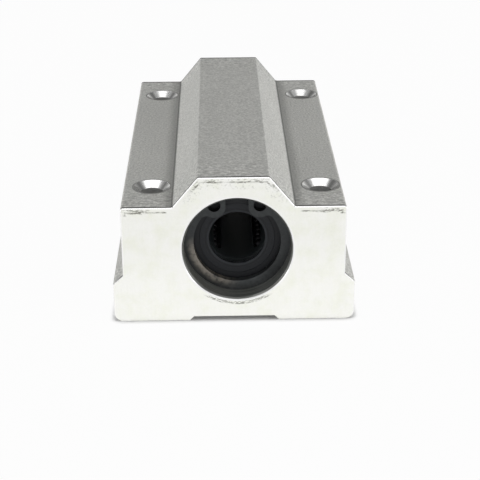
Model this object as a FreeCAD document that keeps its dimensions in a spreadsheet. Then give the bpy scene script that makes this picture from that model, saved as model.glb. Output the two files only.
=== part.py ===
import FreeCAD, Part
import itertools
import math
import os
import re
import Sketcher

# Long pillow block for an 8 mm shaft: an extruded aluminium housing that holds two
# recirculating-ball bearings end to end, kept in by a retaining ring at each end.
#
# Frame: millimetres, origin at the centre of the underside, +Y along the shaft, +Z up.
# Bearing pieces are drawn in a frame of their own: +Y runs from the bearing's outer
# end inwards, and the shaft's axis is the Y axis.

SIZES = {
    # housing: the extruded section
    "block_length": 58.0,
    "block_width": 34.0,
    "block_height": 21.75,
    "flange_height": 5.8,
    "step_width": 1.45,
    "step_rise": 1.35,
    "shoulder_height": 17.4,
    "shoulder_width": 7.1,
    "ridge_width": 9.75,
    "relief_width": 12.6,
    "relief_depth": 0.6,
    "relief_slope": 0.6,
    "base_corner_radius": 1.3,
    "shoulder_corner_radius": 0.4,
    "ridge_corner_radius": 0.3,
    "root_radius": 0.5,
    "edge_break": 0.1,
    # housing: the machined bore and its two ring grooves
    "shaft_height": 11.0,
    "bore_offset": 0.5,
    "bore_clearance": 0.01,
    "mouth_chamfer": 0.3,
    "ring_inset": 2.8,
    "groove_depth": 0.35,
    # housing: the four tapped through holes
    "hole_margin_across": 5.0,
    "hole_margin_along": 8.0,
    "thread_radius": 2.0,
    "thread_depth": 8.0,
    "thread_chamfer": 0.2,
    "drill_radius": 1.7,
    "countersink_radius": 2.6,
    # internal retaining ring
    "ring_thickness": 1.0,
    "ring_side_play": 0.1,
    "ring_groove_gap": 0.05,
    "ring_width": 1.65,
    "ring_gap": 3.2,
    "lug_inset": 0.05,
    "lug_radius": 1.6,
    "lug_hole_radius": 0.9,
    "lug_hole_rise": 0.2,
    "lug_blend_radius": 0.9,
    # linear ball bearing: the angle it is fitted at, in degrees, and its outer sleeve
    "bearing_turn": 60.0,
    "bearing_radius": 7.5,
    "sleeve_chamfer": 0.3,
    "sleeve_groove_depth": 0.35,
    "sleeve_groove_width": 1.1,
    "sleeve_groove_inset": 3.25,
    "sleeve_end_wall": 0.9,
    "seat_clearance": 0.01,
    "turn_clearance": 0.1,
    # linear ball bearing: balls and the tracks they run in
    "shaft_radius": 4.0,
    "ball_radius": 0.794,
    "ball_gap": 0.03,
    "circuits": 4,
    "return_lift": 0.556,
    "track_clearance": 0.06,
    # linear ball bearing: cage
    "cage_clearance": 0.17,
    "cage_play": 0.088,
    "cage_end_wall": 1.226,
    "track_floor_wall": 0.05,
    "island_width": 0.732,
    "window_lip": 0.074,
    "window_overrun": 0.95,
    # linear ball bearing: end rings and seals
    "end_ring_thickness": 0.7,
    "end_ring_clearance": 0.6,
    "seal_recess": 0.15,
    "seal_thickness": 1.35,
    "lip_height": 0.3,
    "lip_relief_depth": 0.4,
    "lip_set_back": 0.1,
    "lip_width": 0.4,
    # spacer between the two bearings
    "spacer_length": 2.4,
    "spacer_play": 0.1,
    "spacer_wall": 1.4,
}

SHEET = "Sizes"
TINY = 1e-4

# Lengths that follow from the sheet, as expressions in its names.
RIDGE_ROOT = "(block_width / 2 - step_width - shoulder_width)"
HOLE_ACROSS = "(block_width / 2 - hole_margin_across)"
HOLE_ALONG = "(block_length / 2 - hole_margin_along)"
BORE_RADIUS = "(bearing_radius + bore_clearance)"
GROOVE_RADIUS = "(bearing_radius + groove_depth)"
GROOVE_WIDTH = "(ring_thickness + ring_side_play)"
RING_OUTER = f"({GROOVE_RADIUS} - ring_groove_gap)"
RING_INNER = f"({RING_OUTER} - ring_width)"
LUG_ACROSS = "(ring_gap / 2 + lug_radius)"
LUG_UP = f"sqrt(({RING_OUTER} - lug_inset - lug_radius) ^ 2 - {LUG_ACROSS} ^ 2)"
BEARING_PLACE = "(block_length / 2 - ring_inset - ring_thickness)"
BEARING_LENGTH = f"({BEARING_PLACE} - spacer_length / 2)"
RACE = "(shaft_radius + 2 * ball_radius)"
LOADED_RADIUS = "(shaft_radius + ball_radius)"
RETURN_RADIUS = f"({LOADED_RADIUS} + return_lift)"
TRACK_HALF_WIDTH = "(ball_radius + track_clearance)"
LANE_OFFSET = f"(island_width / 2 + {TRACK_HALF_WIDTH})"
RETURN_UP = f"sqrt({RETURN_RADIUS} ^ 2 - {LANE_OFFSET} ^ 2)"
SEAT_RADIUS = "(bearing_radius - sleeve_end_wall)"
SEAT_DEPTH = "(seal_recess + seal_thickness + end_ring_thickness)"
TURN_DEPTH = f"({SEAT_DEPTH} + cage_end_wall + {LANE_OFFSET} + {TRACK_HALF_WIDTH})"
LANE_LENGTH = f"({BEARING_LENGTH} - 2 * {TURN_DEPTH})"
CAGE_BORE = "(shaft_radius + cage_clearance)"

doc = FreeCAD.newDocument("bearing_block")
sheet = doc.addObject("Spreadsheet::Sheet", SHEET)


def fill_sheet():
    """Write each driving dimension beside its name and give the cell that name."""
    for row, (name, value) in enumerate(SIZES.items(), start=1):
        sheet.set(f"A{row}", name)
        sheet.set(f"B{row}", str(value))
        sheet.setAlias(f"B{row}", name)
    doc.recompute()


def bound(text):
    """Turn 'block_width / 2' into the sheet's own 'Sizes.block_width / 2'."""
    return re.sub(r"[a-z][a-z_]*", lambda m: f"{SHEET}.{m[0]}" if m[0] in SIZES else m[0], text)


def size(text):
    """The number that an expression in the sheet's names stands for."""
    result = sheet.evalExpression(bound(text))
    return float(getattr(result, "Value", result))


# ---------------------------------------------------------------- sketch helpers


def new_body(name):
    """An empty body whose label is the node's name."""
    body = doc.addObject("PartDesign::Body", name)
    body.Label = name
    return body


def new_sketch(body, name, role, offset="0"):
    """A sketch on one of the body's origin planes, moved along the plane's normal."""
    sketch = body.newObject("Sketcher::SketchObject", f"{body.Name}_{name}")
    plane = [item for item in body.Origin.OriginFeatures if item.Role == role][0]
    sketch.AttachmentSupport = [(plane, "")]
    sketch.MapMode = "FlatFace"
    sketch.setExpression("AttachmentOffset.Base.z", bound(offset))
    doc.recompute()
    return sketch


def fix_point(sketch, geometry, point, across, up):
    """Hold one point of the sketch at two distances from its origin."""
    for kind, text in (("DistanceX", across), ("DistanceY", up)):
        index = sketch.addConstraint(
            Sketcher.Constraint(kind, -1, 1, geometry, point, size(text))
        )
        sketch.setExpression(f"Constraints[{index}]", bound(text))


def draw_polygon(sketch, points):
    """A closed outline of straight lines through the given places."""
    places = [FreeCAD.Vector(size(across), size(up), 0) for across, up in points]
    first = sketch.GeometryCount
    for here, place in enumerate(places):
        following = places[(here + 1) % len(places)]
        sketch.addGeometry(Part.LineSegment(place, following), False)
    for here, (across, up) in enumerate(points):
        following = first + (here + 1) % len(points)
        sketch.addConstraint(Sketcher.Constraint("Coincident", first + here, 2, following, 1))
        fix_point(sketch, first + here, 1, across, up)


def draw_circle(sketch, across, up, radius):
    """A circle at a place, with its radius from the sheet."""
    centre = FreeCAD.Vector(size(across), size(up), 0)
    circle = Part.Circle(centre, FreeCAD.Vector(0, 0, 1), size(radius))
    geometry = sketch.addGeometry(circle, False)
    index = sketch.addConstraint(Sketcher.Constraint("Radius", geometry, size(radius)))
    sketch.setExpression(f"Constraints[{index}]", bound(radius))
    fix_point(sketch, geometry, 3, across, up)


def draw_slot(sketch, across, half_length, half_width):
    """A slot with round ends, its long side along the sketch's vertical."""
    middle, reach, radius = size(across), size(half_length), size(half_width)
    normal = FreeCAD.Vector(0, 0, 1)
    ends = {}
    for side, start in ((1, 0.0), (-1, math.pi)):
        centre = FreeCAD.Vector(middle, side * reach, 0)
        arc = Part.ArcOfCircle(Part.Circle(centre, normal, radius), start, start + math.pi)
        ends[side] = sketch.addGeometry(arc, False)
        up = half_length if side > 0 else f"-({half_length})"
        fix_point(sketch, ends[side], 3, across, up)
        index = sketch.addConstraint(Sketcher.Constraint("Radius", ends[side], radius))
        sketch.setExpression(f"Constraints[{index}]", bound(half_width))
    for side, foot, head in ((1, 2, 1), (-1, 1, 2)):
        start = FreeCAD.Vector(middle + side * radius, -reach, 0)
        finish = FreeCAD.Vector(middle + side * radius, reach, 0)
        line = sketch.addGeometry(Part.LineSegment(start, finish), False)
        sketch.addConstraint(Sketcher.Constraint("Tangent", line, 1, ends[-1], foot))
        sketch.addConstraint(Sketcher.Constraint("Tangent", line, 2, ends[1], head))


# --------------------------------------------------------------- feature helpers


def add_pad(body, sketch, length, midplane=False, reversed_side=False):
    """Extrude a sketch into solid."""
    pad = body.newObject("PartDesign::Pad", f"{sketch.Name}_pad")
    pad.Profile = sketch
    pad.setExpression("Length", bound(length))
    pad.Midplane = midplane
    pad.Reversed = reversed_side
    doc.recompute()
    return pad


def add_pocket(body, sketch, length=None, reversed_side=False, both_ways=False):
    """Cut a sketch out of the body, to a depth or right through, and see that it cut."""
    before = body.Tip.Shape.Volume
    pocket = body.newObject("PartDesign::Pocket", f"{sketch.Name}_pocket")
    pocket.Profile = sketch
    pocket.Reversed = reversed_side
    if length is None:
        pocket.Type = "ThroughAll"
        pocket.Midplane = both_ways
    else:
        pocket.setExpression("Length", bound(length))
    doc.recompute()
    if pocket.Shape.isNull() or pocket.Shape.Volume > before - TINY:
        raise RuntimeError(f"{pocket.Name} cut nothing")
    return pocket


def add_holes(body, sketch, radius, mouth_radius, depth=None, upwards=False):
    """Drill a sketch's circles with a 90 degree countersink, to a depth or right through."""
    before = body.Tip.Shape.Volume
    holes = body.newObject("PartDesign::Hole", f"{sketch.Name}_holes")
    holes.Profile = sketch
    doc.recompute()
    holes.Reversed = upwards
    holes.setExpression("Diameter", bound(f"2 * ({radius})"))
    holes.HoleCutType = "Countersink"
    holes.HoleCutCustomValues = True
    holes.HoleCutCountersinkAngle = 90.0
    holes.setExpression("HoleCutDiameter", bound(f"2 * ({mouth_radius})"))
    if depth is None:
        holes.DepthType = "ThroughAll"
    else:
        holes.DrillPoint = "Flat"
        holes.setExpression("Depth", bound(depth))
    doc.recompute()
    if holes.Shape.isNull() or holes.Shape.Volume > before - TINY:
        raise RuntimeError(f"{holes.Name} cut nothing")
    return holes


def add_revolution(body, sketch):
    """Turn a profile about the Y axis: across is the radius, up is the place along it."""
    revolution = body.newObject("PartDesign::Revolution", f"{sketch.Name}_revolution")
    revolution.Profile = sketch
    revolution.ReferenceAxis = (sketch, ["V_Axis"])
    revolution.Angle = 360.0
    doc.recompute()
    return revolution


def add_pattern(body, features):
    """Repeat cuts once for each ball circuit about the shaft's axis."""
    pattern = body.newObject("PartDesign::PolarPattern", f"{body.Name}_circuits")
    axis = [item for item in body.Origin.OriginFeatures if item.Role == "Y_Axis"][0]
    pattern.Originals = features
    pattern.Axis = (axis, [""])
    pattern.Angle = 360.0
    pattern.setExpression("Occurrences", bound("circuits"))
    body.Tip = pattern
    doc.recompute()
    return pattern


def add_dressing(body, kind, name, edges, value):
    """A fillet or chamfer on chosen edges of the body's last shape."""
    if not edges:
        raise RuntimeError(f"{body.Name}: no edge found for {name}")
    base = body.Tip
    feature = body.newObject(f"PartDesign::{kind}", f"{body.Name}_{name}")
    feature.Base = (base, edges)
    feature.setExpression("Radius" if kind == "Fillet" else "Size", bound(value))
    body.Tip = feature
    doc.recompute()
    return feature


def lengthwise_edges(shape, places):
    """Names of the edges that run along Y through the given (x, z) places."""
    found = []
    for number, edge in enumerate(shape.Edges, start=1):
        ends = [vertex.Point for vertex in edge.Vertexes]
        for across, up in places:
            x, z = size(across), size(up)
            if len(ends) == 2 and all(math.hypot(p.x - x, p.z - z) < TINY for p in ends):
                found.append(f"Edge{number}")
    return found


def end_edges(shape):
    """Names of every edge that lies in one of the two end planes of the block."""
    reach = size("block_length / 2")
    found = []
    for number, edge in enumerate(shape.Edges, start=1):
        box = edge.BoundBox
        if box.YLength < TINY and abs(abs(box.YMin) - reach) < TINY:
            found.append(f"Edge{number}")
    return found


def mouth_edges(shape):
    """Names of the two circles where the bore meets the block's ends."""
    reach = size("block_length / 2")
    found = []
    for number, edge in enumerate(shape.Edges, start=1):
        circle = edge.Curve
        if isinstance(circle, Part.Circle) and abs(circle.Radius - size(BORE_RADIUS)) < TINY:
            if abs(abs(circle.Center.y) - reach) < TINY:
                found.append(f"Edge{number}")
    return found


def place(body, along, turned=False, spin="0"):
    """Set a piece on the shaft's axis, spun about it; the rear ones are turned end for end."""
    rotation = FreeCAD.Rotation(FreeCAD.Vector(0, 1, 0), size(spin))
    if turned:
        rotation = FreeCAD.Rotation(FreeCAD.Vector(0, 0, 1), 180) * rotation
    body.Placement.Rotation = rotation
    body.setExpression("Placement.Base.x", bound("bore_offset"))
    body.setExpression("Placement.Base.y", bound(f"-({along})" if not turned else along))
    body.setExpression("Placement.Base.z", bound("shaft_height"))
    doc.recompute()


# -------------------------------------------------------------------- the housing


def make_housing():
    """The extruded, bored and tapped aluminium body."""
    body = new_body("housing")
    section = new_sketch(body, "section", "XZ_Plane")
    half_outline = [
        ("relief_width / 2 - relief_slope", "relief_depth"),
        ("relief_width / 2", "0"),
        ("block_width / 2", "0"),
        ("block_width / 2", "flange_height"),
        ("block_width / 2 - step_width", "flange_height + step_rise"),
        ("block_width / 2 - step_width", "shoulder_height"),
        (RIDGE_ROOT, "shoulder_height"),
        ("ridge_width / 2", "block_height"),
    ]
    mirrored = [(f"-({across})", up) for across, up in reversed(half_outline)]
    draw_polygon(section, half_outline + mirrored)
    add_pad(body, section, "block_length", midplane=True)

    def both_sides(across, up):
        return [(across, up), (f"-({across})", up)]

    roundings = {
        "base_corner_radius": both_sides("block_width / 2", "0"),
        "shoulder_corner_radius": both_sides("block_width / 2 - step_width", "shoulder_height"),
        "root_radius": both_sides(RIDGE_ROOT, "shoulder_height"),
        "ridge_corner_radius": both_sides("ridge_width / 2", "block_height"),
    }
    for radius, places in roundings.items():
        edges = lengthwise_edges(body.Shape, places)
        add_dressing(body, "Fillet", radius.replace("_radius", "_round"), edges, radius)
    add_dressing(body, "Chamfer", "end_break", end_edges(body.Shape), "edge_break")

    bore = new_sketch(body, "bore", "XZ_Plane")
    draw_circle(bore, "bore_offset", "shaft_height", BORE_RADIUS)
    add_pocket(body, bore, both_ways=True)
    mouths = mouth_edges(body.Shape)
    add_dressing(body, "Chamfer", "mouth_chamfers", mouths, "mouth_chamfer")

    # The sketch's normal points along -Y, so the front groove lies at a positive offset.
    for name, start in (
        ("front_groove", "block_length / 2 - ring_inset"),
        ("rear_groove", f"{GROOVE_WIDTH} - block_length / 2 + ring_inset"),
    ):
        groove = new_sketch(body, name, "XZ_Plane", start)
        draw_circle(groove, "bore_offset", "shaft_height", GROOVE_RADIUS)
        add_pocket(body, groove, GROOVE_WIDTH)

    drill = new_sketch(body, "drill", "XY_Plane", "shoulder_height")
    tap = new_sketch(body, "tap", "XY_Plane")
    for side in ("-", ""):
        for end in ("-", ""):
            across = f"bore_offset + {side}{HOLE_ACROSS}"
            along = f"{end}{HOLE_ALONG}"
            draw_circle(drill, across, along, "drill_radius")
            draw_circle(tap, across, along, "thread_radius")
    add_holes(body, drill, "drill_radius", "countersink_radius")
    mouth = "thread_radius + thread_chamfer"
    add_holes(body, tap, "thread_radius", mouth, depth="thread_depth", upwards=True)
    return body


# ------------------------------------------------------------- the retaining rings


def make_retaining_ring(name, turned):
    """Internal retaining ring: an open flat ring with two eyed lugs beside its gap."""
    body = new_body(name)
    blank = new_sketch(body, "blank", "XZ_Plane")
    draw_circle(blank, "0", "0", RING_OUTER)
    draw_circle(blank, "0", "0", RING_INNER)
    add_pad(body, blank, "ring_thickness", reversed_side=True)

    # Each lug is a square block under the ring that ends in a round eye.
    lug_top = f"({RING_INNER} + {RING_OUTER}) / 2"
    for side, label in (("-", "left"), ("", "right")):
        eye = new_sketch(body, f"{label}_eye", "XZ_Plane")
        draw_circle(eye, f"{side}{LUG_ACROSS}", LUG_UP, "lug_radius")
        add_pad(body, eye, "ring_thickness", reversed_side=True)
        near = f"{side}ring_gap / 2"
        lug = new_sketch(body, f"{label}_lug", "XZ_Plane")
        draw_polygon(
            lug,
            [
                (near, LUG_UP),
                (f"{side}{LUG_ACROSS}", LUG_UP),
                (f"{side}{LUG_ACROSS}", lug_top),
                (near, lug_top),
            ],
        )
        add_pad(body, lug, "ring_thickness", reversed_side=True)

    gap = new_sketch(body, "gap", "XZ_Plane")
    draw_polygon(
        gap,
        [
            ("-ring_gap / 2", "0"),
            ("ring_gap / 2", "0"),
            ("ring_gap / 2", GROOVE_RADIUS),
            ("-ring_gap / 2", GROOVE_RADIUS),
        ],
    )
    add_pocket(body, gap, reversed_side=False, both_ways=True)

    # The hollow corner where each eye meets the ring's inner edge is blended.
    eye_x, eye_z = size(LUG_ACROSS), size(LUG_UP)
    inner, eye_radius = size(RING_INNER), size("lug_radius")
    reach = math.hypot(eye_x, eye_z)
    swing = math.acos((reach**2 + inner**2 - eye_radius**2) / (2 * reach * inner))
    corner = math.atan2(eye_x, eye_z) + swing
    corner_x = f"{inner * math.sin(corner)}"
    corner_z = f"{inner * math.cos(corner)}"
    corners = lengthwise_edges(body.Shape, [(corner_x, corner_z), (f"-{corner_x}", corner_z)])
    add_dressing(body, "Fillet", "lug_blends", corners, "lug_blend_radius")

    eyes = new_sketch(body, "eyes", "XZ_Plane")
    for side in ("-", ""):
        draw_circle(eyes, f"{side}{LUG_ACROSS}", f"{LUG_UP} + lug_hole_rise", "lug_hole_radius")
    add_pocket(body, eyes, both_ways=True)
    place(body, "block_length / 2 - ring_inset", turned)
    return body


# -------------------------------------------------------------------- the bearings


def make_outer_sleeve(name, turned):
    """Hardened sleeve: ball race inside, seats for the end pieces, two ring grooves."""
    body = new_body(name)
    profile = new_sketch(body, "profile", "XY_Plane")
    turn_relief = f"{RETURN_RADIUS} + ball_radius + turn_clearance"
    groove_floor = "bearing_radius - sleeve_groove_depth"
    groove_end = "sleeve_groove_inset + sleeve_groove_width"
    half_profile = [
        (RACE, TURN_DEPTH),
        (turn_relief, TURN_DEPTH),
        (turn_relief, SEAT_DEPTH),
        (SEAT_RADIUS, SEAT_DEPTH),
        (SEAT_RADIUS, "0"),
        ("bearing_radius - sleeve_chamfer", "0"),
        ("bearing_radius", "sleeve_chamfer"),
        ("bearing_radius", "sleeve_groove_inset"),
        (groove_floor, "sleeve_groove_inset"),
        (groove_floor, groove_end),
        ("bearing_radius", groove_end),
    ]
    far_half = [(across, f"{BEARING_LENGTH} - ({up})") for across, up in reversed(half_profile)]
    draw_polygon(profile, half_profile + far_half)
    add_revolution(body, profile)

    relief = new_sketch(body, "return_relief", "XZ_Plane")
    draw_circle(relief, LANE_OFFSET, RETURN_UP, TRACK_HALF_WIDTH)
    cut = add_pocket(body, relief, BEARING_LENGTH)
    add_pattern(body, [cut])
    place(body, BEARING_PLACE, turned, "bearing_turn")
    return body


def make_cage(name, turned):
    """Moulded ball cage: four oval tracks, each with a window onto the shaft."""
    body = new_body(name)
    profile = new_sketch(body, "profile", "XY_Plane")
    outside = f"{RACE} - cage_play"
    draw_polygon(
        profile,
        [
            (CAGE_BORE, SEAT_DEPTH),
            (outside, SEAT_DEPTH),
            (outside, f"{BEARING_LENGTH} - {SEAT_DEPTH}"),
            (CAGE_BORE, f"{BEARING_LENGTH} - {SEAT_DEPTH}"),
        ],
    )
    add_revolution(body, profile)

    middle = bound(f"{BEARING_LENGTH} / 2")
    track = new_sketch(body, "track", "XY_Plane", f"{CAGE_BORE} + track_floor_wall")
    track.setExpression("AttachmentOffset.Base.y", middle)
    draw_slot(track, "0", f"{LANE_LENGTH} / 2", f"{LANE_OFFSET} + {TRACK_HALF_WIDTH}")
    draw_slot(track, "0", f"{LANE_LENGTH} / 2", "island_width / 2")
    track_cut = add_pocket(body, track, reversed_side=True)

    window = new_sketch(body, "window", "XY_Plane")
    window.setExpression("AttachmentOffset.Base.y", middle)
    window_reach = f"{LANE_LENGTH} / 2 + window_overrun"
    draw_slot(window, f"-{LANE_OFFSET}", window_reach, "ball_radius - window_lip")
    window_cut = add_pocket(body, window, reversed_side=True)
    add_pattern(body, [track_cut, window_cut])
    place(body, BEARING_PLACE, turned, "bearing_turn")
    return body


def make_end_ring(name, turned, start):
    """Flat steel ring between the cage and a seal."""
    body = new_body(name)
    profile = new_sketch(body, "profile", "XY_Plane")
    finish = f"{start} + end_ring_thickness"
    inside = "shaft_radius + end_ring_clearance"
    outside = f"{SEAT_RADIUS} - seat_clearance"
    draw_polygon(
        profile,
        [(inside, start), (outside, start), (outside, finish), (inside, finish)],
    )
    add_revolution(body, profile)
    place(body, BEARING_PLACE, turned, "bearing_turn")
    return body


def make_seal(name, turned, back, outward):
    """Rubber wiper seal; back is the face on the end ring, outward the way it faces."""
    body = new_body(name)
    profile = new_sketch(body, "profile", "XY_Plane")
    face = f"{back} {outward} seal_thickness"
    inward = "+" if outward == "-" else "-"
    lip_start = f"{face} {inward} lip_set_back"
    lip_end = f"{lip_start} {inward} lip_width"
    lip_root = "shaft_radius + lip_height"
    outside = f"{SEAT_RADIUS} - seat_clearance"
    draw_polygon(
        profile,
        [
            ("shaft_radius", lip_start),
            (lip_root, face),
            (outside, face),
            (outside, back),
            (f"{lip_root} + lip_relief_depth", back),
            (lip_root, lip_end),
            ("shaft_radius", lip_end),
        ],
    )
    add_revolution(body, profile)
    place(body, BEARING_PLACE, turned, "bearing_turn")
    return body


# ----------------------------------------------------------------------- the balls


def ball_solid(radius):
    """One ball as a closed 32-sided solid: an octahedron split once and pushed out."""
    unit = [FreeCAD.Vector(1, 0, 0), FreeCAD.Vector(0, 1, 0), FreeCAD.Vector(0, 0, 1)]
    signs = itertools.product((1, -1), repeat=3)
    triangles = [[axis * sign for axis, sign in zip(unit, row)] for row in signs]
    faces = []
    for corners in triangles:
        mids = [(corners[k] + corners[(k + 1) % 3]).normalize() for k in range(3)]
        parts = [mids] + [(corners[k], mids[k], mids[k - 1]) for k in range(3)]
        for part in parts:
            points = [point * radius for point in part]
            faces.append(Part.Face(Part.makePolygon(points + points[:1])))
    solid = Part.makeSolid(Part.makeShell(faces))
    if solid.Volume < 0:
        solid.reverse()
    return solid


def track_point(distance):
    """Centre of a ball that has run a distance along its oval track.

    The loaded lane runs straight at one side and the return lane at the other, joined
    by half circles. The balls climb from the loaded radius to the return radius on the
    turns, by the sine of half the angle turned.
    """
    straight, offset = size(LANE_LENGTH), size(LANE_OFFSET)
    turn = math.pi * offset
    if distance < straight:
        across, along, climb = -offset, distance - straight / 2, 0.0
    elif distance < straight + turn:
        angle = (distance - straight) / offset
        across = -offset * math.cos(angle)
        along = straight / 2 + offset * math.sin(angle)
        climb = math.sin(angle / 2)
    elif distance < 2 * straight + turn:
        across, along, climb = offset, straight / 2 - (distance - straight - turn), 1.0
    else:
        angle = (distance - 2 * straight - turn) / offset
        across = offset * math.cos(angle)
        along = -straight / 2 - offset * math.sin(angle)
        climb = math.cos(angle / 2)
    radius = size(LOADED_RADIUS) + size("return_lift") * climb
    return FreeCAD.Vector(across, along, math.sqrt(radius**2 - across**2))


def make_ball_circuit(name, turned, number):
    """All the balls of one track, as separate solids in one node."""
    length = 2 * size(LANE_LENGTH) + 2 * math.pi * size(LANE_OFFSET)
    count = int(length / size("2 * ball_radius + ball_gap"))
    ball = ball_solid(size("ball_radius"))
    axis = FreeCAD.Vector(0, 1, 0)
    middle = FreeCAD.Vector(0, size(BEARING_LENGTH) / 2, 0)
    turn = 360.0 * number / size("circuits")
    balls = []
    for step in range(count):
        copy = ball.copy()
        copy.translate(middle + track_point(length * step / count))
        copy.rotate(FreeCAD.Vector(0, 0, 0), axis, turn)
        balls.append(copy)
    node = doc.addObject("Part::Feature", name)
    node.Label = name
    node.Shape = Part.Compound(balls)
    place(node, BEARING_PLACE, turned, "bearing_turn")
    return node


def make_bearing(end, turned):
    """One complete linear ball bearing, drawn piece by piece."""
    pieces = [make_outer_sleeve(f"{end}_outer_sleeve", turned)]
    pieces.append(make_cage(f"{end}_ball_cage", turned))
    outer_ring = "seal_recess + seal_thickness"
    inner_ring = f"{BEARING_LENGTH} - {SEAT_DEPTH}"
    pieces.append(make_end_ring(f"{end}_outer_end_ring", turned, outer_ring))
    pieces.append(make_end_ring(f"{end}_inner_end_ring", turned, inner_ring))
    inner_back = f"{inner_ring} + end_ring_thickness"
    pieces.append(make_seal(f"{end}_outer_seal", turned, outer_ring, "-"))
    pieces.append(make_seal(f"{end}_inner_seal", turned, inner_back, "+"))
    for number in range(int(size("circuits"))):
        pieces.append(make_ball_circuit(f"{end}_ball_circuit_{number + 1}", turned, number))
    return pieces


def make_spacer():
    """Plain tube that keeps the two bearings apart."""
    body = new_body("spacer_sleeve")
    profile = new_sketch(body, "profile", "XY_Plane")
    outside = f"{BORE_RADIUS} - spacer_play"
    inside = f"{outside} - spacer_wall"
    draw_polygon(
        profile,
        [
            (inside, "-spacer_length / 2"),
            (outside, "-spacer_length / 2"),
            (outside, "spacer_length / 2"),
            (inside, "spacer_length / 2"),
        ],
    )
    add_revolution(body, profile)
    place(body, "0")
    return body


# --------------------------------------------------------------- build and write


def check(pieces):
    """Stop if any object failed or any piece's shape is missing or not valid."""
    for item in doc.Objects:
        if {"Invalid", "Error"} & set(item.State):
            raise RuntimeError(f"{item.Name} failed: {item.State}")
    for piece in pieces:
        if piece.Shape.isNull() or not piece.Shape.isValid() or not piece.Shape.Solids:
            raise RuntimeError(f"{piece.Label} has no valid solid")


def write(pieces):
    """Write each piece to a STEP file that carries its name."""
    os.makedirs("parts", exist_ok=True)
    for piece in pieces:
        piece.Shape.exportStep(f"parts/{piece.Label}.step")


fill_sheet()
pieces = [make_housing(), make_spacer()]
for end, turned in (("front", False), ("rear", True)):
    pieces.append(make_retaining_ring(f"{end}_retaining_ring", turned))
    pieces.extend(make_bearing(end, turned))
doc.recompute()
check(pieces)
write(pieces)
for piece in pieces:
    print(f"{piece.Label}: {len(piece.Shape.Solids)} solid(s), {piece.Shape.Volume:.2f} mm3")
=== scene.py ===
import math
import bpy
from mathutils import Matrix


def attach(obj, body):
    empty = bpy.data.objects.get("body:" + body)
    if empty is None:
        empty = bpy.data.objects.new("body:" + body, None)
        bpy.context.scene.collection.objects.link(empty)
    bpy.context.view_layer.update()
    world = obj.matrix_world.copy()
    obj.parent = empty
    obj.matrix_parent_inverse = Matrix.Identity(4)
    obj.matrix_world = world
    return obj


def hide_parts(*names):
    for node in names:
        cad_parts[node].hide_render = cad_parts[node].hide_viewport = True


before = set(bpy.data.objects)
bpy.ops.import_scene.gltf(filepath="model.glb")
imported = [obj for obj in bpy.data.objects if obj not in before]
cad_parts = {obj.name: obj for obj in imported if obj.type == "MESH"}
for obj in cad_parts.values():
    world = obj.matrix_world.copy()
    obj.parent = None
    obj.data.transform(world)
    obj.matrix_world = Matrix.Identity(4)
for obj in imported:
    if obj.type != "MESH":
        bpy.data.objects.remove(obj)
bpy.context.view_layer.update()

from types import SimpleNamespace

import bpy
import numpy as np
from bpy.props import FloatProperty, FloatVectorProperty, IntProperty, PointerProperty
from mathutils import Matrix

bl_info = {
    "name": "Bearing block dresser",
    "version": (1, 0, 0),
    "blender": (4, 5, 0),
    "location": "3D View > Sidebar > Bearing block",
    "description": "Finishes, cut threads, polished balls and a studio for a linear bearing block",
    "category": "Object",
}

# The scene is in metres, with +Y along the shaft from the front end and +Z up from the base.
MM = 0.001
ENDS = ("front", "rear")

# The block's own sizes, in millimetres, for placing its finishes and threads.
HALF_LENGTH = 29.0
SHAFT_X = 0.5
SHAFT_Z = 11.0
RIM_RADIUS = 7.81  # where the bore's lead-in meets an end face
BORE_RADIUS = 7.51
HOLE_ACROSS = 12.0
HOLE_ALONG = 21.0
SINK_RADIUS = 2.6
SINK_FLOOR = 16.5
THREAD_RADIUS = 2.0
SHOULDER_TOP = 17.4
SHOULDER_SIDE = 15.55
RIDGE_TOP = 21.75
ROOT_LINE = 8.5  # from the middle to the dark line along the ridge's foot
SLOPE_FACING = (0.7725, 0.6349)  # across and up, of unit length
SLOPE_REACH = 17.575  # from the origin to the plane of a slope

# How squarely a surface faces an axis: tilted below the first, and flat above the second.
TILTED, FLAT = 0.85, 0.95


# ------------------------------------------------------------------- finish recipes


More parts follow.
